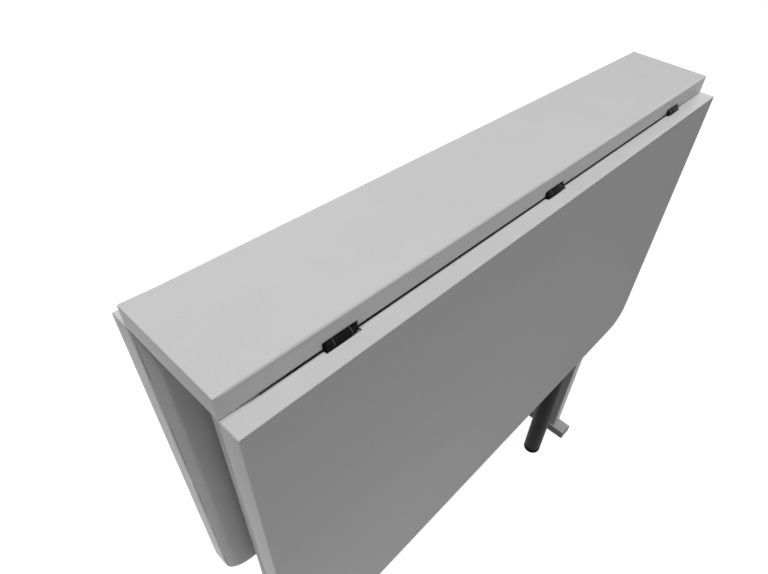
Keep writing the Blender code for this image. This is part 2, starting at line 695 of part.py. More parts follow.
def build_gate_bracket(name, lug_level, away, screw_level, turn, material):
    """An angle bracket on a stretcher, with the spigot that the gate turns on and two tight screws."""
    back = STRETCHER_FACE_Y - CLEARANCE
    nose = GATE_Y - GATE_BRACKET_NOSE
    thick = GATE_BRACKET_THICKNESS
    inner = lug_level - away * thick
    end = (lug_level if away > 0 else inner) - GATE_BRACKET_HEIGHT
    near, far = sorted((lug_level, inner))
    outline = [(back, end), (back, far), (nose, far), (nose, near), (back - thick, near), (back - thick, end)]
    start = GATE_PIVOT_X - GATE_BRACKET_WIDTH / 2
    stand = Matrix(((0, 0, 1, start), (1, 0, 0, 0), (0, 1, 0, 0), (0, 0, 0, 1)))
    shape = prism(outline, stand, GATE_BRACKET_WIDTH)
    part = add_part(name, moved(shape, turn), material, turn @ at(GATE_PIVOT_X, GATE_Y, lug_level), True)
    low, high = sorted((inner + away * thick / 2, inner - away * SPIGOT_LENGTH))
    spigot = rod(PIVOT_RADIUS - TUBE_WALL - CLEARANCE, low, high)
    tools = [moved(spigot, turn @ at(GATE_PIVOT_X, GATE_Y, 0))]
    tools += pan_screws(BRACKET_SCREW, thick, gate_screws(screw_level), turn)
    apply_tool(part, "fittings", tools, "UNION")


def build_gate(side, turn, looks):
    """One folded gate: a leg, two rails and a pivot tube between its brackets."""
    pivot = axis_empty(side + "_gate_axis", turn @ at(GATE_PIVOT_X, GATE_Y, 0))
    anchor = pivot.matrix_world.copy()
    leg = turn @ at(GATE_LEG_X, GATE_Y, 0)
    name = side + "_gate_"
    pieces = (
        ("leg", tube(LEG_RADIUS, TUBE_WALL, LEG_TUBE_BASE, LEG_TUBE_TOP), leg, "tube"),
        ("foot_cap", cap((0.0, CAP_FOOT_HEIGHT, CAP_FOOT_HEIGHT + CAP_PLUG_LENGTH), LEG_RADIUS), leg, "plastic"),
        ("top_cap", cap((LEG_CAP_TOP, LEG_CAP_TOP - CAP_TOP_HEIGHT, LEG_CAP_TOP - CAP_TOP_HEIGHT - CAP_PLUG_LENGTH),
                        LEG_RADIUS), leg, "plastic"),
        ("pivot_tube", tube(PIVOT_RADIUS, TUBE_WALL, PIVOT_TUBE_BASE, PIVOT_TUBE_TOP), anchor, "tube"),
    )
    for label, shape, place, look in pieces:
        part = add_part(name + label, moved(shape, place), looks[look], anchor, True)
        carried(part, pivot)
    build_rail(name + "upper_rail", UPPER_RAIL_Z, turn, looks["tube"], pivot)
    build_rail(name + "lower_rail", LOWER_RAIL_Z, turn, looks["tube"], pivot)
    upper_level, lower_level = gate_bracket_levels()
    upper_screws, lower_screws = gate_screw_levels()
    build_gate_bracket(name + "upper_bracket", upper_level, 1, upper_screws, turn, looks["steel"])
    build_gate_bracket(name + "lower_bracket", lower_level, -1, lower_screws, turn, looks["steel"])


def main():
    """Build the whole table."""
    clear_scene()
    looks = {
        "board": make_material("light_laminated_board", (0.60, 0.60, 0.59), 0.45),
        "hinge": make_material("black_burnished_steel", (0.020, 0.020, 0.020), 0.40, 0.8),
        "steel": make_material("zinc_plated_steel", (0.45, 0.45, 0.44), 0.35, 1.0),
        "screw": make_material("bright_zinc_screw", (0.50, 0.49, 0.46), 0.30, 1.0),
        "tube": make_material("grey_lacquered_tube", (0.14, 0.14, 0.145), 0.35, 0.3),
        "plastic": make_material("black_moulded_plastic", (0.012, 0.012, 0.012), 0.50),
    }
    build_top(looks["board"])
    build_stretchers(looks["board"])
    for end, turn in ENDS:
        build_end(end, turn, looks)
    for side, turn in SIDES:
        build_leaf_side(side, turn, looks)
        build_gate(side, turn, looks)


main()
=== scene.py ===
"""Looks of a drop-leaf gateleg table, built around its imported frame. Lengths are in metres."""
import math

import bmesh
import bpy
import numpy as np
from mathutils import Euler, Matrix, Vector


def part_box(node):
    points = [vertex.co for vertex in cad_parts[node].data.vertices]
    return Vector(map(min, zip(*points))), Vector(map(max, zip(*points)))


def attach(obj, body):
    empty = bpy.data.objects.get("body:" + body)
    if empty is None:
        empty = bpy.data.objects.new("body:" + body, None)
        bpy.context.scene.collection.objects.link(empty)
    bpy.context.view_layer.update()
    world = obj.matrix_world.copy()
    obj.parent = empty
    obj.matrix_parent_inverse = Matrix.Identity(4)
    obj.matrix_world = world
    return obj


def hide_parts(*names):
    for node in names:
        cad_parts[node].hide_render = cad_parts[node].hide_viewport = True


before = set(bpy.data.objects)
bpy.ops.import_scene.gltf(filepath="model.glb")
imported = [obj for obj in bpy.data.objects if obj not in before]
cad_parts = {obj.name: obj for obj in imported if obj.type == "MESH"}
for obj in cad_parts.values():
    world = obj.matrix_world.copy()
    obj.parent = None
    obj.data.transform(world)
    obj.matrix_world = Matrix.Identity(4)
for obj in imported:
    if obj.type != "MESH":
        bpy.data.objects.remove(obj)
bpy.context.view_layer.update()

MM = 0.001
WELD = 0.002 * MM
SHARP_ANGLE = math.radians(35)
# Keeps a division away from zero
TINY = 1e-9

# Axes of a shape: its length, its width, and the way out of its outer face or along its turning line
X, Y, Z = np.eye(3)
FLAT = (X, Y, Z)
NEAR_FACE = (X, Z, -Y)
FAR_FACE = (-X, Z, Y)
SIDEWAYS = (Y, Z, X)
DOWNWARD = (X, -Y, -Z)

# Steps in round stretches
ROUND_STEPS = 6
CORNER_STEPS = 16
BEND_STEPS = 6
COARSE_STEPS = 4
QUARTER_STEPS = 5
FINE_STEPS = 7
HEXAGON_STEPS = 48
HINGE_SIDES = 32
TUBE_SIDES = 56
RAIL_SIDES = 48
BEAD_SIDES = 12

# Boards: a notch or a rebate is its depth and its height
FACE_INSET = 8 * MM
FACE_COLUMNS = 2
EDGE_SUPPORT = 0.25 * MM
TOP_UPPER_ROUND = 2.2 * MM
TOP_END_ROUND = 0.8 * MM
TOP_LOWER_ROUND = 0.4 * MM
TOP_CORNER = 1.0 * MM
LEAF_INNER_ROUND = 1.0 * MM
LEAF_HINGED_ROUND = 4.4 * MM
LEAF_OUTER_ROUND = 0.9 * MM
LEAF_UPPER_CORNER = 1.2 * MM
LEAF_LOWER_CORNER = 34 * MM
FRAME_ROUND = 1.6 * MM
FRAME_CORNER = 1.6 * MM
EDGE_TAPER = 25 * MM
EDGE_STEP = 2 * MM
NOTCH_HALF = 15.3 * MM
TOP_NOTCH = (5.1 * MM, 5.5 * MM)
LEAF_NOTCH = (3.5 * MM, 5.5 * MM)
LEAF_REBATE = (0.75 * MM, 2.2 * MM)
# Edge profiles of a board: at corners, in a notch, beside one, and from the first corner to the first notch
CORNER_EDGE, NOTCH_EDGE, HINGED_EDGE, FIRST_EDGE = range(4)

# Hinges: a knuckle or a pin's head is its radius and its length
HINGES = ("left", "middle", "right")
LEAF_KNUCKLE = (4.2 * MM, 14.8 * MM)
TOP_KNUCKLE_LENGTH = 6.0 * MM
LEFT_KNUCKLE_RADIUS = 4.0 * MM
RIGHT_KNUCKLE_RADIUS = 3.3 * MM
KNUCKLE_GAP = 0.4 * MM
KNUCKLE_ROUND = 0.45 * MM
KNUCKLE_CLEAR = 4.8 * MM
PIN_RADIUS = 1.6 * MM
PIN_CLEAR = 0.1 * MM
PIN_HEAD = (2.7 * MM, 0.6 * MM)
PIN_DOME = 0.8
WASHER_RADIUS = 3.9 * MM
WASHER_HALF = 0.45 * KNUCKLE_GAP
WASHER_CLEAR = 0.05 * MM
WASHER_ROUND = 0.05 * MM
FLAP_THICKNESS = 1.6 * MM
FLAP_WIDTH = 26.6 * MM
FLAP_REACH = 26 * MM
FLAP_CORNER = 2.5 * MM
FLAP_SCREWS = (10.5 * MM, 20.5 * MM)
TOP_FLAP_LEVEL = -1.0 * MM
LEAF_FLAP_LEVEL = 1.0 * MM
PLATE_CHAMFER = 0.2 * MM

# Gate legs
TUBE_WALL = 1.5 * MM
TUBE_ROUND = 0.4 * MM
LEG_RADIUS = 16 * MM
RAIL_RADIUS = 10 * MM
PIVOT_RADIUS = 11 * MM
FIT = 0.3 * MM
CAP_HEIGHT = 12 * MM
CAP_ROUND = 2.2 * MM
CAP_LIP = 0.5 * MM
CAP_STEM = 8 * MM
TOP_CAP_HEIGHT = 4 * MM
WELD_BEAD = 1.3 * MM
BEAD_RIPPLE = 0.10
BEAD_WAVES = 13
GATE_BRACKET = 30 * MM
GATE_PLATE = 3 * MM
GATE_CORNER = 5 * MM
GATE_BEND = 4.5 * MM
GATE_SCREW_STEP = 9 * MM
SPIGOT = 16 * MM

# Corner brackets, and glides: a disc or a stem is its radius and its height
CORNER_LEG = 20 * MM
CORNER_WIDTH = 16 * MM
CORNER_PLATE = 2 * MM
CORNER_ROUND = 3 * MM
CORNER_BEND = 3 * MM
CORNER_SCREW = 12 * MM
GLIDE = (9 * MM, 1 * MM)
GLIDE_STEM = (2 * MM, 11 * MM)
GLIDE_ROUND = 0.7 * MM

# Screws: head radius and height, and for a countersunk one its shank's radius and length
PAN_HEAD = (2.9 * MM, 1.3 * MM)
BRACKET_HEAD = (3.8 * MM, 1.6 * MM)
PANEL_HEAD = (5.0 * MM, 3.0 * MM, 3.0 * MM, 50 * MM)
FOOT_HEAD = (4.5 * MM, 2.8 * MM, 2.2 * MM, 45 * MM)
HEAD_PROUD = 0.15 * MM
PAN_FOOT = 0.1 * MM
SUNK_RIM = 0.2 * MM
# Shares of a head's radius and height: shoulder, arm and half width of a cross, flat face, and sockets
PAN_SHOULDER = (0.62, 0.75)
CROSS_BAR = (0.55, 0.16)
CROSS_DEPTH = 0.7
SUNK_FACE = 0.9
HEXAGON_REACH = 0.42
HEXAGON_DEPTH = 0.6
SOCKET_FLOOR = 0.7

# Patterns of the finishes: where most of a noise's values lie, and sizes on the melamine face
NOISE_RANGE = (0.3, 0.7)
FACE_CLOUD = 45 * MM
FACE_PEARL = 1.6 * MM
# Painted shade line along the board edges: its place in from the edge, its fade, its stretches and their
# range
SHADE_LINE_PLACE = 1.4 * MM
SHADE_LINE_FADE = (0.2 * MM, 0.4 * MM)
SHADE_LINE_STRETCH = 35 * MM
SHADE_LINE_RANGE = (0.48, 0.58)

# Camera at the photograph's viewpoint: sensor and lens in millimetres, turn in degrees
SENSOR = 36.0
LENS = 26.6689
SHIFT = (-0.0689985, 0.0108131)
NEAREST = 0.01
CAMERA_PLACE = (-0.42266, -0.24845, 0.99573)
CAMERA_TURN = (47.01257, -4.59036, -48.77506)

# Surround: a sun's distance, which has no effect on its light, and the levels of sky and floor
SUN_DISTANCE = 3
SKY_LEVEL = 0.09
FLOOR_REACH = 30.0
FLOOR_GLOW = 0.92


def box_of(node):
    """The low and high corner of a CAD node's box."""
    low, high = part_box(node)
    return np.array(low), np.array(high)


def middle_of(node):
    """The middle of a CAD node's box."""
    low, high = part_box(node)
    return np.array((low + high) / 2)


def grid_faces(rows, columns, wrap_rows=False, wrap_columns=False):
    """Quads of a grid of points numbered row by row; a wrapped direction joins its last line to its first."""
    row = np.arange(rows if wrap_rows else rows - 1)
    column = np.arange(columns if wrap_columns else columns - 1)
    row, column = np.meshgrid(row, column, indexing="ij")
    start = row * columns
    below = (row + 1) % rows * columns
    beside = (column + 1) % columns
    return np.stack([start + column, below + column, below + beside, start + beside], -1).reshape(-1, 4)


def merged(shells):
    """Several shells as one: points are put end to end, and each face number grows by the points before it.
    A shell is its points, its groups of faces, and the number of each group's finish where that isn't 0."""
    starts = np.cumsum([0] + [len(shell[0]) for shell in shells])
    points = np.concatenate([shell[0] for shell in shells])
    faces = [group + start for shell, start in zip(shells, starts) for group in shell[1]]
    kinds = [kind for shell in shells for kind in (shell[2] if len(shell) > 2 else [0] * len(shell[1]))]
    finishes = np.concatenate([np.full(len(group), kind) for group, kind in zip(faces, kinds)])
    return points, faces, finishes


def piece(name, shells, body, node, looks, insets=None):
    """One object that stands for a CAD node: equal points are welded, and faces turned outwards.
    Each group of faces says which of the looks it has."""
    points, faces, finishes = merged(shells)
    mesh = bpy.data.meshes.new(name)
    mesh.from_pydata(points.tolist(), [], [face for group in faces for face in group.tolist()])
    mesh.polygons.foreach_set("material_index", finishes)
    if insets is not None:
        layer = mesh.attributes.new("inset", "FLOAT", "POINT")
        layer.data.foreach_set("value", insets)
    joined = bmesh.new()
    joined.from_mesh(mesh)
    bmesh.ops.remove_doubles(joined, verts=joined.verts, dist=WELD)
    bmesh.ops.recalc_face_normals(joined, faces=joined.faces)
    joined.to_mesh(mesh)
    joined.free()
    mesh.polygons.foreach_set("use_smooth", np.ones(len(mesh.polygons), bool))
    mesh.set_sharp_from_angle(angle=SHARP_ANGLE)
    for look in looks:
        mesh.materials.append(look)
    item = bpy.data.objects.new(name, mesh)
    bpy.context.scene.collection.objects.link(item)
    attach(item, body)
    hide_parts(node)


def edge_profile(thickness, rounds, notch=None):
    """Depth inside the edge and height over the lower face, from one face over the edge to the other.
    A round of radius r is a quarter circle from (r, 0) to (0, r). A notch goes up its inner wall and
    out along its ceiling in as many points."""
    low, high = rounds
    turn = np.linspace(0.0, math.pi / 2, ROUND_STEPS + 1)
    first = np.stack([low - low * np.sin(turn), low - low * np.cos(turn)], 1)
    if notch:
        walk = np.linspace(0.0, 2.0, ROUND_STEPS + 1)
        first = np.stack([notch[0] * np.clip(2 - walk, 0, 1), notch[1] * np.clip(walk, 0, 1)], 1)
    last = np.stack([high - high * np.cos(turn), thickness - high + high * np.sin(turn)], 1)
    start = [(FACE_INSET, 0.0), (first[0, 0] + EDGE_SUPPORT, 0.0)]
    end = [(high + EDGE_SUPPORT, thickness), (FACE_INSET, thickness)]
    return np.concatenate([start, first, last, end])


def outline_stations(length, width, radii, centres):
    """Stations round a rectangle from its first corner on: the point that depth is counted from, the
    inward step, the corner's radius, the direction from the corner's middle, and the edge profile.
    A notch has two stations at each end, so that its end wall stands between them. A side with notches
    also has stations just after its first corner, just before its first notch and before its last corner."""
    signs = np.array(((1.0, 1.0), (-1.0, 1.0), (-1.0, -1.0), (1.0, -1.0)))
    half = np.array((length, width)) / 2
    runs = []
    for corner, sign in enumerate(signs):
        angles = math.pi / 2 * (corner + np.linspace(0.0, 1.0, CORNER_STEPS + 1))
        ones = np.ones((len(angles), 1))
        around = np.stack([np.cos(angles), np.sin(angles)], 1)
        edge = CORNER_EDGE * ones
        runs.append(np.hstack([ones * sign * half, -ones * sign, ones * radii[corner], around, edge]))
        if corner not in centres:
            continue
        following = signs[(corner + 1) % 4]
        along = (following - sign) / 2
        outward = (following + sign) / 2
        way = along.sum()
        reach = half @ np.abs(along)
        middles = np.array(centres[corner])
        ends = np.sort(np.concatenate([middles - NOTCH_HALF, middles + NOTCH_HALF]))[::int(way)]
        first = (-way * (reach - FACE_INSET - EDGE_STEP), ends[0] - way * EDGE_STEP)
        last = way * (reach - EDGE_TAPER)
        places = np.concatenate([first, np.repeat(ends, 2), [last]])[:, None]
        notch = (HINGED_EDGE, NOTCH_EDGE, NOTCH_EDGE, HINGED_EDGE)
        edges = [FIRST_EDGE] * 2 + list(notch) * len(middles) + [HINGED_EDGE]
        ones = np.ones_like(places)
        anchor = ones * outward * half + places * np.abs(along)
        edge = np.array(edges)[:, None]
        runs.append(np.hstack([anchor, -ones * outward, 0 * ones, ones * outward, edge]))
    return np.concatenate(runs)


def board_shell(node, axes, radii, rounds, hinged, notch, rebate, centres):
    """A board in a CAD node's box: its edge profile carried round its outline, closed by two flat faces.
    The profile has rounds at the corners. On a side with notches it has the hinged rounds, and from the
    first corner to the first notch it may have a rebate. At depth d a corner's point is
    corner - sign * max(R, d) + max(R - d, 0) * (cos, sin), and a side's point lies d inwards.
    Returns the shell and each point's depth, made larger on the outer face, which shows no painted shade
    line."""
    low, high = box_of(node)
    axes = np.array(axes)
    length, width, thickness = np.abs(axes @ (high - low))
    profiles = np.stack([edge_profile(thickness, rounds),
                         edge_profile(thickness, hinged, notch),
                         edge_profile(thickness, hinged),
                         edge_profile(thickness, rounds if rebate else hinged, rebate)])
    stations = outline_stations(length, width, radii, centres)
    anchor, inward, radius, around, edge = np.split(stations[:, None], (2, 4, 5, 7), -1)
    profile = profiles[edge.ravel().astype(int)]
    depth = profile[..., :1]
    flat = anchor + inward * np.maximum(radius, depth) + np.maximum(radius - depth, 0) * around
    local = np.concatenate([flat, profile[..., 1:] - thickness / 2], -1)
    points = (low + high) / 2 + local @ axes
    count, steps = depth.shape[:2]
    rim = np.arange(count)[None] * steps
    quads = grid_faces(count, steps, wrap_rows=True)
    column = np.arange(len(quads)) % (steps - 1)
    on_face = (column < FACE_COLUMNS) | (column >= steps - 1 - FACE_COLUMNS)
    faces = [quads[on_face], quads[~on_face], rim[:, ::-1], rim + steps - 1]
    outer_half = np.arange(steps)[:, None] >= steps / 2
    return (points.reshape(-1, 3), faces, (0, 1, 0, 0)), (depth + FACE_INSET * outer_half).ravel()


def turned_shell(profile, centre, axes, sides, closed=False):
    """A profile of radius and height turned about the third axis: (r cos a, r sin a, h)."""
    radius, height = np.array(profile).T
    angle = np.linspace(0.0, 2 * math.pi, sides, endpoint=False)[:, None]
    local = np.stack([radius * np.cos(angle), radius * np.sin(angle), height + 0 * angle], -1)
    points = np.array(centre) + local @ np.array(axes)
    return points.reshape(-1, 3), [grid_faces(sides, len(radius), True, closed)]


def quarter(radius, height, inset, rise, steps=QUARTER_STEPS):
    """A quarter circle in a profile, from (radius - inset, height) out to (radius, height + rise)."""
    turn = np.linspace(0.0, math.pi / 2, steps)
    return np.stack([radius - inset + inset * np.sin(turn), height + rise * (1 - np.cos(turn))], 1)


def ring_profile(outer, inner, half, edge):
    """A ring's section: a rectangle from inner to outer radius whose outer corners are quarter circles."""
    lower = quarter(outer, -half, edge, edge)
    upper = quarter(outer, half, edge, -edge)[::-1]
    return np.concatenate([[(inner, -half)], lower, upper, [(inner, half)]])


def cross_socket(arm, half_width):
    """Angles and radii of a cross: the larger of its two bars' radii at each angle, corners included."""
    tip = math.atan(half_width / arm)
    first = np.linspace(-tip, tip, QUARTER_STEPS)
    between = np.linspace(tip, math.pi / 2 - tip, FINE_STEPS)[1:-1]
    angles = (np.concatenate([first, between]) + math.pi / 2 * np.arange(4)[:, None]).ravel()
    cosine = np.abs(np.cos(angles)) + TINY
    sine = np.abs(np.sin(angles)) + TINY
    lying = np.minimum(arm / cosine, half_width / sine)
    standing = np.minimum(half_width / cosine, arm / sine)
    return angles, np.maximum(lying, standing)


def hexagon_socket(reach):
    """Angles and radii of a hexagon: reach / cos of the angle from the nearest flat's middle."""
    angles = np.linspace(0.0, 2 * math.pi, HEXAGON_STEPS, endpoint=False)
    return angles, reach / np.cos((angles + math.pi / 6) % (math.pi / 3) - math.pi / 6)


def screw_shell(profile, socket, depth, centre, axes):
    """A screw: its socket's floor and tapered wall, then its profile turned about the third axis."""
    angles, outline = socket
    profile = np.array(profile)
    top = profile[0, 1]
    ones = np.ones_like(outline)
    radii = np.stack([0 * ones, SOCKET_FLOOR * outline, outline] + [r * ones for r in profile[:, 0]])
    levels = np.concatenate([(top - depth, top - depth, top), profile[:, 1]])[:, None] * ones
    local = np.stack([radii * np.cos(angles), radii * np.sin(angles), levels], -1)
    points = np.array(centre) + local @ np.array(axes)
    return points.reshape(-1, 3), [grid_faces(len(radii), len(angles), False, True)]


def pan_head(size, centre, axes):
    """A cross-driven pan head on a plate: flat crown, rounded shoulder, and a foot below the plate's face."""
    radius, rise = size
    crown = quarter(radius, rise, PAN_SHOULDER[0] * radius, -PAN_SHOULDER[1] * rise, FINE_STEPS)
    profile = np.concatenate([crown, [(radius, -PAN_FOOT), (0.0, -PAN_FOOT)]])
    socket = cross_socket(CROSS_BAR[0] * radius, CROSS_BAR[1] * radius)
    return screw_shell(profile, socket, CROSS_DEPTH * rise, centre, axes)


def sunk_head(size, centre, axes):
    """A countersunk screw with a hexagon socket: flat face, thin rim, and a cone down to its shank."""
    radius, depth, shank, length = size
    head = [(SUNK_FACE * radius, HEAD_PROUD), (radius, 0.0), (radius, -SUNK_RIM)]
    profile = head + [(shank, -depth), (shank, -length), (0.0, -length)]
    return screw_shell(profile, hexagon_socket(HEXAGON_REACH * radius), HEXAGON_DEPTH * depth, centre, axes)


def plate_shell(origin, along, normal, lengths, width, thickness, corner, bend=0.0):
    """A flat bar, bent once by a right angle where it has two lengths: a chamfered rectangle carried
    along its outer face. At walk s the face is origin + along * min(s, a) + bend * (sin t, 1 - cos t)
    + turned * rest, with t = (s - a) / bend, and the half width shrinks by a quarter circle at both ends."""
    origin, along, normal = (np.array(vector, float) for vector in (origin, along, normal))
    side = np.cross(along, normal)
    first, second = lengths
    straight = first - bend if second else first
    total = straight + (second - bend + bend * math.pi / 2 if second else 0.0)
    turn = np.linspace(0.0, math.pi / 2, BEND_STEPS)
    start = corner * (1 - np.cos(turn))
    arc = straight + bend * turn if second else np.zeros(0)
    walk = np.concatenate([start, arc, (total - start)[::-1]])
    near_end = np.minimum(walk, total - walk).clip(0, corner)
    half = width / 2 - corner + np.sqrt(np.maximum(corner ** 2 - (corner - near_end) ** 2, 0))
    angle = np.clip((walk - straight) / bend, 0, math.pi / 2) if second else 0 * walk
    rest = np.maximum(walk - straight - bend * math.pi / 2, 0) if second else 0 * walk
    reach = np.minimum(walk, straight) + bend * np.sin(angle)
    drop = bend * (1 - np.cos(angle)) + rest
    facing = np.cos(angle)[:, None] * normal - np.sin(angle)[:, None] * along
    face = origin + reach[:, None] * along + drop[:, None] * normal
    cut = PLATE_CHAMFER
    inner = thickness - cut
    level = np.array((0.0, cut, inner, thickness, thickness, inner, cut, 0.0))
    shrink = np.array((cut, 0.0, 0.0, cut, cut, 0.0, 0.0, cut))
    sign = np.array((1.0, 1.0, 1.0, 1.0, -1.0, -1.0, -1.0, -1.0))
    across = sign * (half[:, None] - shrink)
    points = face[:, None] + across[..., None] * side + level[:, None] * facing[:, None]
    rows = len(walk)
    count = len(level)
    loop = np.arange(count)[None]
    faces = [grid_faces(rows, count, False, True), loop, loop[:, ::-1] + count * (rows - 1)]
    return points.reshape(-1, 3), faces


def rail_shells(start, end, start_radius, end_radius):
    """A tube between two upright tubes, coped to both: at angle f its end lies
    sqrt(R squared - (r cos f) squared) from the upright's axis. A weld bead runs round each joint."""
    start, end = np.array(start), np.array(end)
    way = np.sign(end[0] - start[0])
    angle = np.linspace(0.0, 2 * math.pi, RAIL_SIDES, endpoint=False)
    inside = RAIL_RADIUS - TUBE_WALL
    radii = np.array((RAIL_RADIUS, RAIL_RADIUS, inside, inside))[:, None]
    at_start = np.array((True, False, False, True))[:, None]
    across = radii * np.cos(angle)
    first = start[0] + way * np.sqrt(start_radius ** 2 - across ** 2)
    last = end[0] - way * np.sqrt(end_radius ** 2 - across ** 2)
    x = np.where(at_start, first, last)
    points = np.stack([x, start[1] + across, start[2] + radii * np.sin(angle)], -1)
    shells = [(points.reshape(-1, 3), [grid_faces(len(radii), RAIL_SIDES, True, True)])]
    around = np.linspace(0.0, 2 * math.pi, BEAD_SIDES, endpoint=False)[:, None]
    ripple = WELD_BEAD * (1 + BEAD_RIPPLE * np.sin(BEAD_WAVES * angle))
    reach = RAIL_RADIUS + ripple * np.cos(around)
    for end_line in x[:2]:
        bead = np.stack([end_line + ripple * np.sin(around), start[1] + reach * np.cos(angle),
                         start[2] + reach * np.sin(angle)], -1)
        shells.append((bead.reshape(-1, 3), [grid_faces(BEAD_SIDES, RAIL_SIDES, True, True)]))
    return shells


def linear(code):
    """A colour's linear values from its sRGB hex code: v / 12.92 up to 0.04045, and above it
    ((v + 0.055) / 1.055) ** 2.4."""
    value = np.array([int(code[i:i + 2], 16) for i in (1, 3, 5)]) / 255
    value = np.where(value <= 0.04045, value / 12.92, ((value + 0.055) / 1.055) ** 2.4)
    return (*value.tolist(), 1.0)


def add(tree, kind, settings=None, inputs=None):
    """One node with its settings; an input that is another node's socket is linked, any other is set."""
    node = tree.nodes.new(kind)
    for key, value in (settings or {}).items():
        setattr(node, key, value)
    for key, value in (inputs or {}).items():
        if isinstance(value, bpy.types.NodeSocket):
            tree.links.new(value, node.inputs[key])
        else:
            node.inputs[key].default_value = value
    return node


def noise(tree, where, size, detail):
    """A noise pattern with patches about as wide as size."""
    inputs = {"Vector": where, "Scale": 1 / size, "Detail": detail}
    return add(tree, "ShaderNodeTexNoise", None, inputs).outputs["Fac"]


def spread(tree, value, source, target=(0.0, 1.0)):
    """A value in the source range, carried over to the target range."""
    inputs = {"Value": value, "From Min": source[0], "From Max": source[1]}
    inputs.update({"To Min": target[0], "To Max": target[1]})
    return add(tree, "ShaderNodeMapRange", None, inputs).outputs[0]


def reckon(tree, operation, *values):
    """The outcome of a sum on one value or two."""
    return add(tree, "ShaderNodeMath", {"operation": operation}, dict(enumerate(values))).outputs[0]


def blend(tree, share, first, second, kind="MIX"):
    """A share of the second colour laid on the first; they are inputs 0, 7 and 6 of the mix node."""
    settings = {"data_type": "RGBA", "blend_type": kind}
    return add(tree, "ShaderNodeMix", settings, {0: share, 6: first, 7: second}).outputs[2]


def new_finish(name):
    """An empty node material, with the object coordinates that its patterns lie on."""
    look = bpy.data.materials.new(name)
    look.use_nodes = True
    look.node_tree.nodes.clear()
    where = add(look.node_tree, "ShaderNodeTexCoord").outputs["Object"]
    return look, look.node_tree, where


def melamine_faced_board():
    """Chipboard with a pressed melamine face and an edge band: even pale grey, a fine pearl texture that
    breaks up reflections, faint cloudy patches, and a dark hairline a short way in from the edge, where the
    band meets the face, darkened as painted shade for the dark lines along the edges."""
    look, tree, where = new_finish("melamine_faced_board")
    cloud = noise(tree, where, FACE_CLOUD, 3.0)
    # pearl grain is about 0.3 mm on a real board; drawn larger so that it shows
    pearl = noise(tree, where, FACE_PEARL, 2.0)
    tone = blend(tree, cloud, linear("#c5c5c5"), linear("#cccccc"))
    fleck = spread(tree, pearl, NOISE_RANGE, (0.985, 1.015))
    speckled = blend(tree, 1.0, tone, fleck, "MULTIPLY")
    # a dark hairline a short way in from the edge, where the face reaches that far out: the band's joint,
    # darkened as painted shade for the dark lines along the edges
    depth = add(tree, "ShaderNodeAttribute", {"attribute_name": "inset"}).outputs["Fac"]
    distance = reckon(tree, "ABSOLUTE", reckon(tree, "SUBTRACT", depth, SHADE_LINE_PLACE))
    line = spread(tree, distance, SHADE_LINE_FADE, (1.0, 0.0))
    # the painted shade line opens in stretches
    stretch = noise(tree, where, SHADE_LINE_STRETCH, 1.0)
    opened = spread(tree, stretch, SHADE_LINE_RANGE, (0.1, 0.7))
    painted_shade_line = reckon(tree, "MULTIPLY", line, opened)
    # painted shade: the dark hairline laid over the face's colour
    colour = blend(tree, painted_shade_line, speckled, linear("#666666"))
    gloss = spread(tree, cloud, NOISE_RANGE, (0.60, 0.68))
    bump = add(tree, "ShaderNodeBump", None, {"Height": pearl, "Strength": 0.12, "Distance": 0.06 * MM})
    inputs = {"Base Color": colour, "Roughness": gloss, "IOR": 1.5, "Specular IOR Level": 0.12,
              "Normal": bump.outputs[0]}
    shader = add(tree, "ShaderNodeBsdfPrincipled", None, inputs)
    add(tree, "ShaderNodeOutputMaterial", None, {"Surface": shader.outputs[0]})
    return look


def plain_finish(name, dark, light, patch, grain, rough, depth, metallic=0.0, specular=None):
    """A sprayed, plated or moulded finish: two close tones in patches, a fine grain in bump and gloss."""
    look, tree, where = new_finish(name)
    cloud = noise(tree, where, patch, 4.0)
    fine = noise(tree, where, grain, 2.0)
    colour = blend(tree, spread(tree, cloud, NOISE_RANGE), linear(dark), linear(light))
    gloss = spread(tree, fine, NOISE_RANGE, rough)
    bump = add(tree, "ShaderNodeBump", None, {"Height": fine, "Strength": 0.4, "Distance": depth})
    inputs = {"Base Color": colour, "Roughness": gloss, "Metallic": metallic, "Normal": bump.outputs[0]}
    if specular:
        inputs["Specular IOR Level"] = specular
    shader = add(tree, "ShaderNodeBsdfPrincipled", None, inputs)
    add(tree, "ShaderNodeOutputMaterial", None, {"Surface": shader.outputs[0]})
    return look


face_look = melamine_faced_board()
# ABS edge band: the face's colour in plain smooth plastic, so it shines more than the pressed face
band_look = plain_finish("abs_edge_band", "#c9c9c9", "#cecece", patch=40 * MM, grain=4 * MM,
                         rough=(0.38, 0.42), depth=0.01 * MM, specular=0.22)
# The foot bars' band is painted a darker grey: painted shade for their sides, which lie in shade under the
# table
painted_shade_foot_band_look = plain_finish("painted_shade_abs_edge_band", "#7a7a7a", "#828282", patch=40 * MM, grain=4 * MM,
                              rough=(0.38, 0.42), depth=0.01 * MM, specular=0.22)
# Baked satin lacquer on steel tube: dark grey, a soft highlight along the tube, slight orange peel
tube_look = plain_finish("satin_lacquered_steel_tube", "#202021", "#262627", patch=30 * MM, grain=1.8 * MM,
                         rough=(0.48, 0.56), depth=0.03 * MM, specular=0.08)
# Moulded nylon: nearly black, matt from a spark-eroded mould
plastic_look = plain_finish("moulded_black_nylon", "#0c0c0c", "#121212", patch=12 * MM, grain=0.7 * MM,
                            rough=(0.62, 0.72), depth=0.05 * MM, specular=0.06)
# Black lacquer baked on pressed steel: nearly black, with a weak soft sheen and slightly rubbed patches
hinge_look = plain_finish("black_lacquered_hinge_steel", "#0a0a0b", "#151516", patch=3 * MM, grain=0.5 * MM,
                          rough=(0.40, 0.55), depth=0.02 * MM, specular=0.06)
# Worn steel washer in the hinge: a dull grey line between the black knuckles
washer_look = plain_finish("worn_washer_steel", "#5c5c5e", "#747476", patch=2 * MM, grain=0.5 * MM,
                           rough=(0.4, 0.5), depth=0.01 * MM, metallic=1.0)
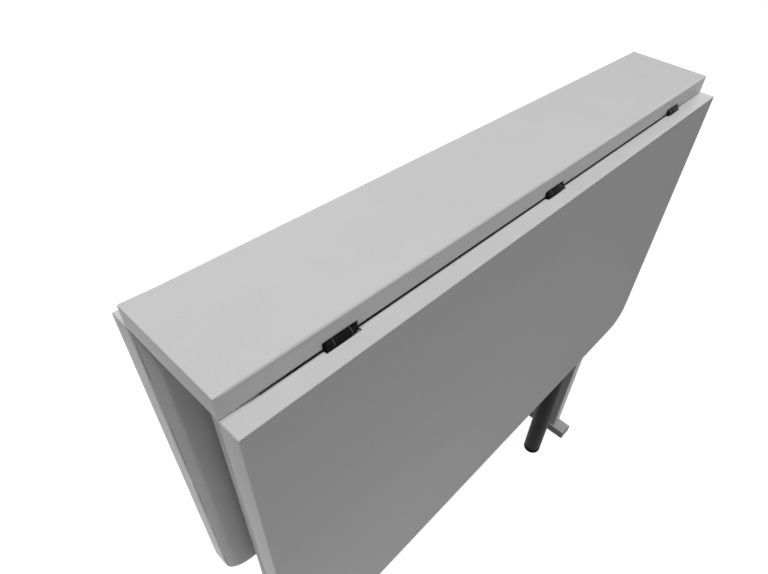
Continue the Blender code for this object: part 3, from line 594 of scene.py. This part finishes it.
# Zinc plate: light blue-grey metal with cloudy passivation
plate_look = plain_finish("zinc_plated_steel", "#a9acb0", "#c3c6ca", patch=5 * MM, grain=0.4 * MM,
                          rough=(0.28, 0.42), depth=0.02 * MM, metallic=1.0)
# Bright zinc on screws: cleaner and shinier than the pressed plates
screw_look = plain_finish("bright_zinc_screw_steel", "#b4b6ba", "#d2d4d8", patch=2 * MM, grain=0.3 * MM,
                          rough=(0.18, 0.30), depth=0.01 * MM, metallic=1.0)


def board_piece(node, body, axes, radii, rounds, hinged=(0.0, 0.0), notch=None, rebate=None, centres=None,
                band=band_look):
    """A board piece in place of a CAD board, with an edge band."""
    shell, depth = board_shell(node, axes, radii, rounds, hinged, notch, rebate, centres or {})
    piece(node + "_board", [shell], body, node, (face_look, band), depth)


places = [middle_of(f"near_{name}_hinge_pin")[0] for name in HINGES]
top_rounds = (TOP_LOWER_ROUND, TOP_UPPER_ROUND)
board_piece("top", "frame", FLAT, (TOP_CORNER,) * 4, (TOP_LOWER_ROUND, TOP_END_ROUND), top_rounds, TOP_NOTCH,
            centres={0: places, 2: places})
leaf_corners = (LEAF_UPPER_CORNER, LEAF_UPPER_CORNER, LEAF_LOWER_CORNER, LEAF_LOWER_CORNER)
for side, axes in (("near", NEAR_FACE), ("far", FAR_FACE)):
    board_piece(side + "_leaf", side + "_leaf", axes, leaf_corners, (LEAF_INNER_ROUND, LEAF_OUTER_ROUND),
                (LEAF_HINGED_ROUND, LEAF_OUTER_ROUND), LEAF_NOTCH, LEAF_REBATE, {0: places})
# the foot bars get the edge band with painted shade, darker on their sides
for node, axes, band in (("upper_stretcher", NEAR_FACE, band_look), ("lower_stretcher", NEAR_FACE, band_look),
                         ("left_end_panel", SIDEWAYS, band_look), ("right_end_panel", SIDEWAYS, band_look),
                         ("left_foot_bar", FLAT, painted_shade_foot_band_look), ("right_foot_bar", FLAT, painted_shade_foot_band_look)):
    board_piece(node, "frame", axes, (FRAME_CORNER,) * 4, (FRAME_ROUND,) * 2, band=band)


def knuckle(radius, length, offset, axis_point):
    """A rolled knuckle: a ring turned about the hinge's line, offset along it."""
    profile = ring_profile(radius, PIN_RADIUS + PIN_CLEAR, length / 2, KNUCKLE_ROUND)
    return turned_shell(profile, axis_point + offset * X, SIDEWAYS, HINGE_SIDES, True)


def flap_shells(face, along, normal, tongues):
    """A hinge's flap with its pan-head screws, running along a face from a point near the hinge's line.
    Each tongue, given as its offset on that line and its width, joins the flap to a knuckle."""
    shells = [plate_shell(face + KNUCKLE_CLEAR * along, along, normal, (FLAP_REACH - KNUCKLE_CLEAR, 0.0),
                          FLAP_WIDTH, FLAP_THICKNESS, FLAP_CORNER)]
    for offset, width in tongues:
        start = face + offset * X + PIN_RADIUS * along
        shells.append(plate_shell(start, along, normal, (2 * KNUCKLE_CLEAR, 0.0), width, FLAP_THICKNESS,
                                  PLATE_CHAMFER))
    for screw in FLAP_SCREWS:
        place = face + screw * along + FLAP_THICKNESS * normal
        shells.append(pan_head(PAN_HEAD, place, (X, np.cross(normal, X), normal)))
    return shells


def pin_shells(axis_point, half_length):
    """A hinge's pin with a domed head at both ends, and a washer at each end of the leaf's knuckle."""
    radius, rise = PIN_HEAD
    tip = half_length + rise
    dome = quarter(radius, tip, PIN_DOME * radius, -PIN_DOME * rise)
    half = np.concatenate([[(0.0, tip)], dome, [(radius, half_length), (PIN_RADIUS, half_length)]])
    profile = np.concatenate([half, half[::-1] * (1, -1)])
    shells = [turned_shell(profile, axis_point, SIDEWAYS, HINGE_SIDES)]
    washer = ring_profile(WASHER_RADIUS, PIN_RADIUS + WASHER_CLEAR, WASHER_HALF, WASHER_ROUND)
    for way in (-1, 1):
        middle = axis_point + way * (LEAF_KNUCKLE[1] + KNUCKLE_GAP) / 2 * X
        points, faces = turned_shell(washer, middle, SIDEWAYS, HINGE_SIDES, True)
        shells.append((points, faces, (1,)))
    return shells


def hinge_pieces(side, name, out):
    """One hinge: the flap under the top, the flap on the leaf and the pin. out points away from the table."""
    hinge = f"{side}_{name}_hinge"
    axis_point = middle_of(hinge + "_pin")
    reach = LEAF_KNUCKLE[1] / 2 + KNUCKLE_GAP + TOP_KNUCKLE_LENGTH / 2
    tongue = TOP_KNUCKLE_LENGTH - 2 * KNUCKLE_GAP
    shells = [knuckle(LEFT_KNUCKLE_RADIUS, TOP_KNUCKLE_LENGTH, -reach, axis_point),
              knuckle(RIGHT_KNUCKLE_RADIUS, TOP_KNUCKLE_LENGTH, reach, axis_point)]
    shells += flap_shells(axis_point + TOP_FLAP_LEVEL * Z, -out, -Z, ((-reach, tongue), (reach, tongue)))
    piece(hinge + "_upper_half", shells, "frame", hinge + "_top_flap", (hinge_look,))
    shells = [knuckle(*LEAF_KNUCKLE, 0.0, axis_point)]
    tongue = LEAF_KNUCKLE[1] - KNUCKLE_GAP
    shells += flap_shells(axis_point - LEAF_FLAP_LEVEL * out, -Z, -out, ((0.0, tongue),))
    leaf = side + "_leaf"
    piece(hinge + "_leaf_half", shells, leaf, hinge + "_leaf_flap", (hinge_look,))
    shells = pin_shells(axis_point, reach + TOP_KNUCKLE_LENGTH / 2)
    looks = (hinge_look, washer_look)
    piece(hinge + "_steel_pin", shells, "frame", hinge + "_pin", looks)


for side, out in (("near", -Y), ("far", Y)):
    for name in HINGES:
        hinge_pieces(side, name, out)


def tube_piece(node, radius):
    """An upright tube in place of a CAD tube."""
    low, high = box_of(node)
    profile = ring_profile(radius, radius - TUBE_WALL, (high[2] - low[2]) / 2, TUBE_ROUND)
    shells = [turned_shell(profile, (low + high) / 2, FLAT, TUBE_SIDES, True)]
    piece(node + "_steel", shells, "frame", node, (tube_look,))


def cap_piece(node, outside, shoulder):
    """A moulded cap on a tube's end: rounded outer edge, thin lip against the tube, and a stem inside it."""
    middle = middle_of(node)
    away = np.sign(outside - shoulder)
    stem = LEG_RADIUS - TUBE_WALL - FIT
    stem_end = shoulder - away * CAP_STEM
    edge = min(CAP_ROUND, abs(outside - shoulder) / 2)
    outer = quarter(LEG_RADIUS, outside, edge, -away * edge, FINE_STEPS)
    lip = quarter(LEG_RADIUS, shoulder, CAP_LIP, away * CAP_LIP, COARSE_STEPS)[::-1]
    inside = [(stem, shoulder), (stem, stem_end), (0.0, stem_end)]
    profile = np.concatenate([[(0.0, outside)], outer, lip, inside])
    shells = [turned_shell(profile, (middle[0], middle[1], 0.0), FLAT, TUBE_SIDES)]
    piece(node + "_moulding", shells, "frame", node, (plastic_look,))


def gate_bracket(node, pivot, way, out):
    """An angle bracket on a stretcher, with two screws: a bent plate whose lug carries a spigot, up or
    down as way says."""
    low, high = box_of(node)
    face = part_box("upper_stretcher")[1].y + FIT
    nose = max(abs(low[1]), abs(high[1]))
    top = high[2]
    start = np.array((pivot[0], nose * out[1], top))
    shells = [plate_shell(start, -out, -Z, (nose - face, GATE_BRACKET), GATE_BRACKET, GATE_PLATE,
                          GATE_CORNER, GATE_BEND)]
    for step in (-GATE_SCREW_STEP, GATE_SCREW_STEP):
        place = np.array((pivot[0] + step, (face + GATE_PLATE) * out[1], top - GATE_BRACKET / 2))
        shells.append(pan_head(BRACKET_HEAD, place, (X, np.cross(out, X), out)))
    radius = PIVOT_RADIUS - TUBE_WALL - FIT
    base = top - GATE_PLATE / 2
    tip = base + way * (SPIGOT + GATE_PLATE / 2)
    nose_round = quarter(radius, tip, FIT, -way * FIT, COARSE_STEPS)[::-1]
    profile = np.concatenate([[(0.0, base), (radius, base)], nose_round, [(0.0, tip)]])
    shells.append(turned_shell(profile, (*pivot[:2], 0.0), FLAT, RAIL_SIDES))
    piece(node + "_plate", shells, "frame", node, (plate_look,))


for side, out in (("near", -Y), ("far", Y)):
    gate = side + "_gate_"
    tube_piece(gate + "leg", LEG_RADIUS)
    tube_piece(gate + "pivot_tube", PIVOT_RADIUS)
    leg = middle_of(gate + "leg")
    pivot = middle_of(gate + "pivot_tube")
    for rail in ("upper_rail", "lower_rail"):
        level = middle_of(gate + rail)[2]
        shells = rail_shells((*pivot[:2], level), (*leg[:2], level), PIVOT_RADIUS, LEG_RADIUS)
        piece(gate + rail + "_steel", shells, "frame", gate + rail, (tube_look,))
    cap_piece(gate + "foot_cap", 0.0, CAP_HEIGHT)
    top_of_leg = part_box(gate + "top_cap")[1].z
    cap_piece(gate + "top_cap", top_of_leg, top_of_leg - TOP_CAP_HEIGHT)
    gate_bracket(gate + "upper_bracket", pivot, -1, out)
    gate_bracket(gate + "lower_bracket", pivot, 1, out)


def corner_bracket(node, way):
    """A bent bracket in the corner of an end panel and the top, with a pan-head screw in each leg."""
    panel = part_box("right_end_panel")[0].x - FIT
    corner = np.array((way * panel, middle_of(node)[1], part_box("top")[0].z - FIT))
    outward = way * X
    start = corner - CORNER_LEG * outward
    under_top = corner - CORNER_SCREW * outward - CORNER_PLATE * Z
    on_panel = corner - CORNER_SCREW * Z - CORNER_PLATE * outward
    shells = [plate_shell(start, outward, -Z, (CORNER_LEG, CORNER_LEG), CORNER_WIDTH, CORNER_PLATE,
                          CORNER_ROUND, CORNER_BEND),
              pan_head(PAN_HEAD, under_top, DOWNWARD),
              pan_head(PAN_HEAD, on_panel, (Y, np.cross(-outward, Y), -outward))]
    piece(node + "_plate", shells, "frame", node, (plate_look,))


def glide_piece(node):
    """A nail-in glide: a low disc with a rounded lower edge, and its stem in the foot bar."""
    middle = middle_of(node)
    radius, height = GLIDE
    stem, stem_end = GLIDE_STEM
    rim = quarter(radius, 0.0, GLIDE_ROUND, GLIDE_ROUND)
    upper = [(radius, height), (stem, height), (stem, stem_end), (0.0, stem_end)]
    profile = np.concatenate([[(0.0, 0.0)], rim, upper])
    shells = [turned_shell(profile, (middle[0], middle[1], 0.0), FLAT, RAIL_SIDES)]
    piece(node + "_moulding", shells, "frame", node, (plastic_look,))


for end, way in (("left", -1), ("right", 1)):
    for side in ("near", "far"):
        corner_bracket(f"{end}_{side}_corner_bracket", way)
        glide_piece(f"{end}_{side}_foot_glide")
        node = f"{end}_{side}_foot_screw"
        place = middle_of(node)
        place[2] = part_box(node)[0].z
        shells = [sunk_head(FOOT_HEAD, place, DOWNWARD)]
        piece(node + "_steel", shells, "frame", node, (screw_look,))
    for level in ("upper", "lower"):
        node = f"{end}_{level}_panel_screw"
        place = middle_of(node)
        place[0] = way * max(abs(corner.x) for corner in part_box(node))
        shells = [sunk_head(PANEL_HEAD, place, (Y, np.cross(way * X, Y), way * X))]
        piece(node + "_steel", shells, "frame", node, (screw_look,))

lens = bpy.data.cameras.new("viewpoint")
lens.sensor_fit = "HORIZONTAL"
lens.sensor_width = SENSOR
lens.lens = LENS
lens.shift_x, lens.shift_y = SHIFT
lens.clip_start = NEAREST
camera = bpy.data.objects.new("viewpoint", lens)
turn = Euler([math.radians(angle) for angle in CAMERA_TURN])
camera.matrix_world = Matrix.LocRotScale(Vector(CAMERA_PLACE), turn, None)
bpy.context.scene.collection.objects.link(camera)
bpy.context.scene.camera = camera


def aimed(name, lamp, place, direction):
    """A lamp at a place, shining along a direction."""
    item = bpy.data.objects.new(name, lamp)
    turn = Vector(direction).to_track_quat("-Z", "Y")
    item.matrix_world = Matrix.Translation(place) @ turn.to_matrix().to_4x4()
    bpy.context.scene.collection.objects.link(item)


# Softboxes: width and height, beam in degrees, power in watts, place and direction
for name, size, beam, power, place, direction in (
        ("overhead_lamp", (0.35, 0.35), 180, 10.0, (-0.25, 0.03, 2.3), (0.0, 0.0, -1.0)),
        ("front_softbox", (1.0, 1.0), 180, 2.0, (-0.25, -0.7, 2.2), (0.2, 0.7, -1.5)),
        ("low_front_lamp", (0.2, 0.2), 80, 0.18, (-0.47, -1.0, 0.28), (0.20, 0.93, 0.0)),
        ("front_left_softbox", (0.8, 0.8), 180, 1.7, (-1.0, -1.4, 0.45), (0.6, 1.4, 0.0)),
        ("left_softbox", (0.15, 0.15), 120, 0.18, (-0.95, -0.06, 0.30), (1.0, 0.05, 0.25)),
        ("left_strip_light", (0.03, 0.45), 10, 0.0165, (-0.93, -0.03, 0.40), (1.0, 0.1, 0.15))):
    softbox = bpy.data.lights.new(name, "AREA")
    softbox.shape = "RECTANGLE"
    softbox.size, softbox.size_y = size
    softbox.spread = math.radians(beam)
    softbox.energy = power
    aimed(name, softbox, place, direction)
# Windows: level of light on a facing white surface, spread in degrees, and direction
for name, level, width, direction in (("front_window", 0.10, 1.5, (0.10, 1.0, -0.52)),
                                      ("left_window", 0.05, 15, (1.0, -0.05, -0.80)),
                                      ("roof_window", 0.22, 8, (0.10, 0.14, -1.0)),
                                      ("back_window", 0.30, 40, (-0.3, -1.0, -0.30)),
                                      ("right_window", 0.20, 40, (-1.0, 0.0, -0.15))):
    window = bpy.data.lights.new(name, "SUN")
    window.energy = math.pi * level
    window.angle = math.radians(width)
    aimed(name, window, -SUN_DISTANCE * Vector(direction), direction)


def by_ray(tree, lighting, shown):
    """One shader for the light on other surfaces, and one for the camera, reflections and clear materials."""
    rays = add(tree, "ShaderNodeLightPath").outputs
    mirrored = reckon(tree, "MAXIMUM", rays["Is Glossy Ray"], rays["Is Transmission Ray"])
    seen = reckon(tree, "MAXIMUM", rays["Is Camera Ray"], mirrored)
    shaders = {0: seen, 1: lighting.outputs[0], 2: shown.outputs[0]}
    return add(tree, "ShaderNodeMixShader", None, shaders).outputs[0]


# White surround for the camera and for reflections, an even grey sky for the light
world = bpy.data.worlds.new("studio")
bpy.context.scene.world = world
world.use_nodes = True
tree = world.node_tree
tree.nodes.clear()
sky = add(tree, "ShaderNodeBackground", None, {"Color": linear("#ffffff"), "Strength": SKY_LEVEL})
white = add(tree, "ShaderNodeBackground", None, {"Color": linear("#ffffff"), "Strength": 1.0})
add(tree, "ShaderNodeOutputWorld", None, {"Surface": by_ray(tree, sky, white)})

# Pale floor: white to the camera, with a light shadow, and a mid grey bounce onto the table
floor_mesh = bpy.data.meshes.new("floor")
corners = [(x * FLOOR_REACH, y * FLOOR_REACH, 0) for x, y in ((-1, -1), (1, -1), (1, 1), (-1, 1))]
floor_mesh.from_pydata(corners, [], [(0, 1, 2, 3)])
floor = bpy.data.objects.new("floor", floor_mesh)
bpy.context.scene.collection.objects.link(floor)
floor_look = bpy.data.materials.new("pale_matt_floor")
floor_look.use_nodes = True
tree = floor_look.node_tree
tree.nodes.clear()
bounce = add(tree, "ShaderNodeBsdfDiffuse", None, {"Color": linear("#606060")})
lit = add(tree, "ShaderNodeBsdfDiffuse", None, {"Color": linear("#999999")})
glow = add(tree, "ShaderNodeEmission", None, {"Color": linear("#ffffff"), "Strength": FLOOR_GLOW})
shown = add(tree, "ShaderNodeAddShader", None, {0: glow.outputs[0], 1: lit.outputs[0]})
add(tree, "ShaderNodeOutputMaterial", None, {"Surface": by_ray(tree, bounce, shown)})
floor_mesh.materials.append(floor_look)

bpy.context.scene.view_settings.view_transform = "Standard"
